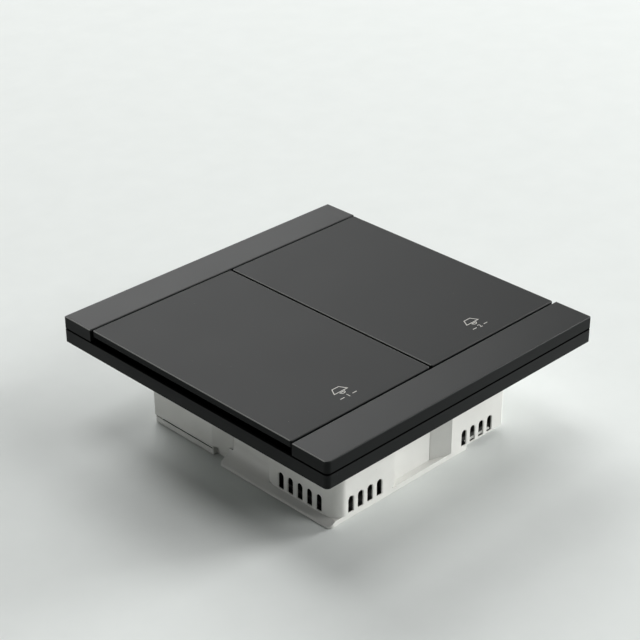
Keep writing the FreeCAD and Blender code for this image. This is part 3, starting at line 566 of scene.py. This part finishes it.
# %% [markdown]
# Each stroke is modelled in edit mode, as it would be by hand: choose, cut, extrude. A few helpers
# change the mode and the selection, and at the end move the place of a piece into its mesh.

# %% Helpers for modelling
def deselect_all():
    for item in bpy.context.selected_objects:
        item.select_set(False)


def choose(piece):
    deselect_all()
    piece.select_set(True)
    bpy.context.view_layer.objects.active = piece


def edit(piece, mode):
    choose(piece)
    bpy.ops.object.mode_set(mode="EDIT")
    bpy.ops.mesh.select_mode(type=mode)


def select_upper_vertices(piece):
    bpy.ops.mesh.select_all(action="DESELECT")
    bpy.ops.object.mode_set(mode="OBJECT")
    for vertex in piece.data.vertices:
        vertex.select = vertex.co.y > 0
    bpy.ops.object.mode_set(mode="EDIT")


def settle(piece):
    """Back to object mode, with the place of the piece moved into its mesh."""
    bpy.ops.object.mode_set(mode="OBJECT")
    choose(piece)
    bpy.ops.object.transform_apply(location=True, rotation=True, scale=True)


# %% [markdown]
# The lamp shade starts as a flat rectangle whose upper edge is drawn in, and the bulb is the lower half
# of a disc. An inset leaves only the stroke of each. A dash is a flat rectangle as high as the stroke.
# All of them are then extruded by the thickness of the ink.

# %% Strokes
def thicken():
    bpy.ops.mesh.extrude_region_move(TRANSFORM_OT_translate={"value": (0, 0, INK_DEPTH)})
    bpy.ops.mesh.select_all(action="SELECT")
    bpy.ops.mesh.normals_make_consistent(inside=False)


def leave_stroke():
    """In edit mode, with one flat face selected: keeps a rim of it as wide as the stroke."""
    bpy.ops.mesh.inset(thickness=STROKE)
    bpy.ops.mesh.delete(type="FACE")
    bpy.ops.mesh.select_all(action="SELECT")
    thicken()


def flat_rectangle(width, height, x, y, z):
    deselect_all()
    bpy.ops.mesh.primitive_plane_add(size=1, location=(x, y, z))
    piece = bpy.context.object
    piece.scale = (width, height, 1)
    bpy.ops.object.transform_apply(location=False, rotation=False, scale=True)
    edit(piece, "VERT")
    return piece


def make_shade(x, y, z):
    piece = flat_rectangle(SHADE_BASE, SHADE_HEIGHT, x, y, z)
    select_upper_vertices(piece)
    bpy.ops.transform.resize(value=(SHADE_TOP / SHADE_BASE, 1, 1))
    bpy.ops.mesh.select_mode(type="FACE")
    bpy.ops.mesh.select_all(action="SELECT")
    leave_stroke()
    settle(piece)
    return piece


def make_bulb(x, y, z):
    deselect_all()
    bpy.ops.mesh.primitive_circle_add(vertices=BULB_STEPS, radius=BULB_RADIUS, fill_type="NGON",
                                      location=(x, y, z))
    piece = bpy.context.object
    edit(piece, "FACE")
    bpy.ops.mesh.select_all(action="SELECT")
    bpy.ops.mesh.bisect(plane_co=(x, y, z), plane_no=(0, 1, 0), clear_outer=True)
    bpy.ops.mesh.select_all(action="SELECT")
    leave_stroke()
    settle(piece)
    return piece


def make_dash(x, y, z):
    piece = flat_rectangle(DASH_LENGTH, STROKE, x, y, z)
    bpy.ops.mesh.select_all(action="SELECT")
    thicken()
    settle(piece)
    return piece


print("a shade is", SHADE_BASE / MM, "by", SHADE_HEIGHT / MM, "mm")

# %% [markdown]
# The number is Blender's own plain font, turned into a mesh so that it exports like the rest. The four
# strokes and the number of one key are joined into a single printed mark that rides on that key.

# %% Print the marks
def make_number(text, x, y, z):
    deselect_all()
    bpy.ops.object.text_add(location=(x, y, z))
    piece = bpy.context.object
    piece.data.body = text
    piece.data.size = NUMBER_SIZE
    piece.data.align_x = "CENTER"
    piece.data.align_y = "CENTER"
    piece.data.extrude = INK_DEPTH / 2
    piece.data.resolution_u = NUMBER_CURVE_STEPS
    bpy.ops.object.convert(target="MESH")
    piece = bpy.context.object
    edit(piece, "VERT")
    bpy.ops.mesh.select_all(action="SELECT")
    bpy.ops.mesh.remove_doubles(threshold=WELD_DISTANCE)
    bpy.ops.transform.translate(value=(0, 0, INK_DEPTH / 2))
    settle(piece)
    return piece


def print_mark(side, text):
    low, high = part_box(side + "_key")
    x = (low.x + high.x) / 2
    z = high.z - INK_SINK
    shade_y = low.y + SHADE_ABOVE_KEY_EDGE
    label_y = shade_y - LABEL_BELOW_SHADE
    strokes = [make_shade(x, shade_y, z),
               make_bulb(x, shade_y - SHADE_HEIGHT / 2 - STROKE, z),
               make_dash(x - DASH_OFFSET, label_y, z),
               make_dash(x + DASH_OFFSET, label_y, z),
               make_number(text, x, label_y, z)]
    choose(strokes[0])
    for stroke in strokes:
        stroke.select_set(True)
    bpy.ops.object.join()
    mark = bpy.context.object
    mark.name = side + "_key_mark"
    mark.data.materials.clear()
    mark.data.materials.append(key_ink)
    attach(mark, side + "_key")
    print(mark.name, "at", round(x, 5), round(shade_y, 5), "with", len(mark.data.polygons), "faces")


print_mark("left", "1")
print_mark("right", "2")

# %% [markdown]
# The table is a sheet of pale matt paper. It is one large plane just under the switch, and it isn't
# part of the object.

# %% Table
TABLE_SIZE = 6.0
TABLE_DROP = 0.02 * MM
PAPER_DARK = colour(0.755, 0.785, 0.765)
PAPER_LIGHT = colour(0.775, 0.805, 0.785)
PAPER_GRAINS_PER_METRE = 2.0 * PER_MM
PAPER_ROUGHNESS = 0.75
PAPER_SPECULAR = 0.2


def make_paper():
    finish, tree = start_finish("pale_paper")
    shader = tree.nodes["Principled BSDF"]
    grain = place_group(tree, grain_group, object_place(tree), Grains_per_metre=PAPER_GRAINS_PER_METRE)
    tone = mix_colours(tree, grain.outputs["Tint"], PAPER_DARK, PAPER_LIGHT)
    tree.links.new(tone, shader.inputs["Base Color"])
    shader.inputs["Roughness"].default_value = PAPER_ROUGHNESS
    shader.inputs["Specular IOR Level"].default_value = PAPER_SPECULAR
    return finish


deselect_all()
bpy.ops.mesh.primitive_plane_add(size=TABLE_SIZE, location=(0, 0, -TABLE_DROP))
table = bpy.context.object
table.name = "paper_table"
bpy.ops.object.transform_apply(location=True, rotation=True, scale=True)
table.data.materials.append(make_paper())
print("table of", TABLE_SIZE, "m")

# %% [markdown]
# The light is a photographer's small set of five soft boxes. The largest stands high behind the switch,
# so that the dark face mirrors its soft edge, and a weak one hangs over the table. A third one stands
# at the front right, for the white walls that face it. A low strip light at the right grazes the table
# and reaches the white wall under the plate. The left side gets only a faint low strip light, which
# leaves the soft dark shadow there.

# %% Light
LIGHTS = {
    "back_light": {"place": (0.66, 1.48, 1.18), "width": 1.7, "height": 1.0, "power": 27.0},
    "top_light": {"place": (0.00, 0.30, 1.67), "width": 0.75, "height": 0.75, "power": 7.0},
    "front_light": {"place": (0.81, -1.40, 1.18), "width": 0.87, "height": 0.87, "power": 14.5},
    "right_strip": {"place": (1.51, -0.49, 0.22), "width": 0.6, "height": 0.3, "power": 37.0},
    "left_strip": {"place": (-1.30, 0.75, 0.10), "width": 0.9, "height": 0.18, "power": 2.6},
}
AIM = Vector((0.0, 0.0, 0.01))
WORLD_COLOUR = colour(0.95, 1.0, 0.98)
WORLD_STRENGTH = 0.005


def soft_box(name, place, width, height, power):
    deselect_all()
    bpy.ops.object.light_add(type="AREA", location=place)
    lamp = bpy.context.object
    lamp.name = name
    lamp.data.shape = "RECTANGLE"
    lamp.data.size = width
    lamp.data.size_y = height
    lamp.data.energy = power
    lamp.rotation_euler = (AIM - Vector(place)).to_track_quat("-Z", "Y").to_euler()


for name, settings in LIGHTS.items():
    soft_box(name, **settings)
world = bpy.data.worlds.new("studio_world")
bpy.context.scene.world = world
world.use_nodes = True
background = world.node_tree.nodes["Background"]
background.inputs["Color"].default_value = WORLD_COLOUR
background.inputs["Strength"].default_value = WORLD_STRENGTH
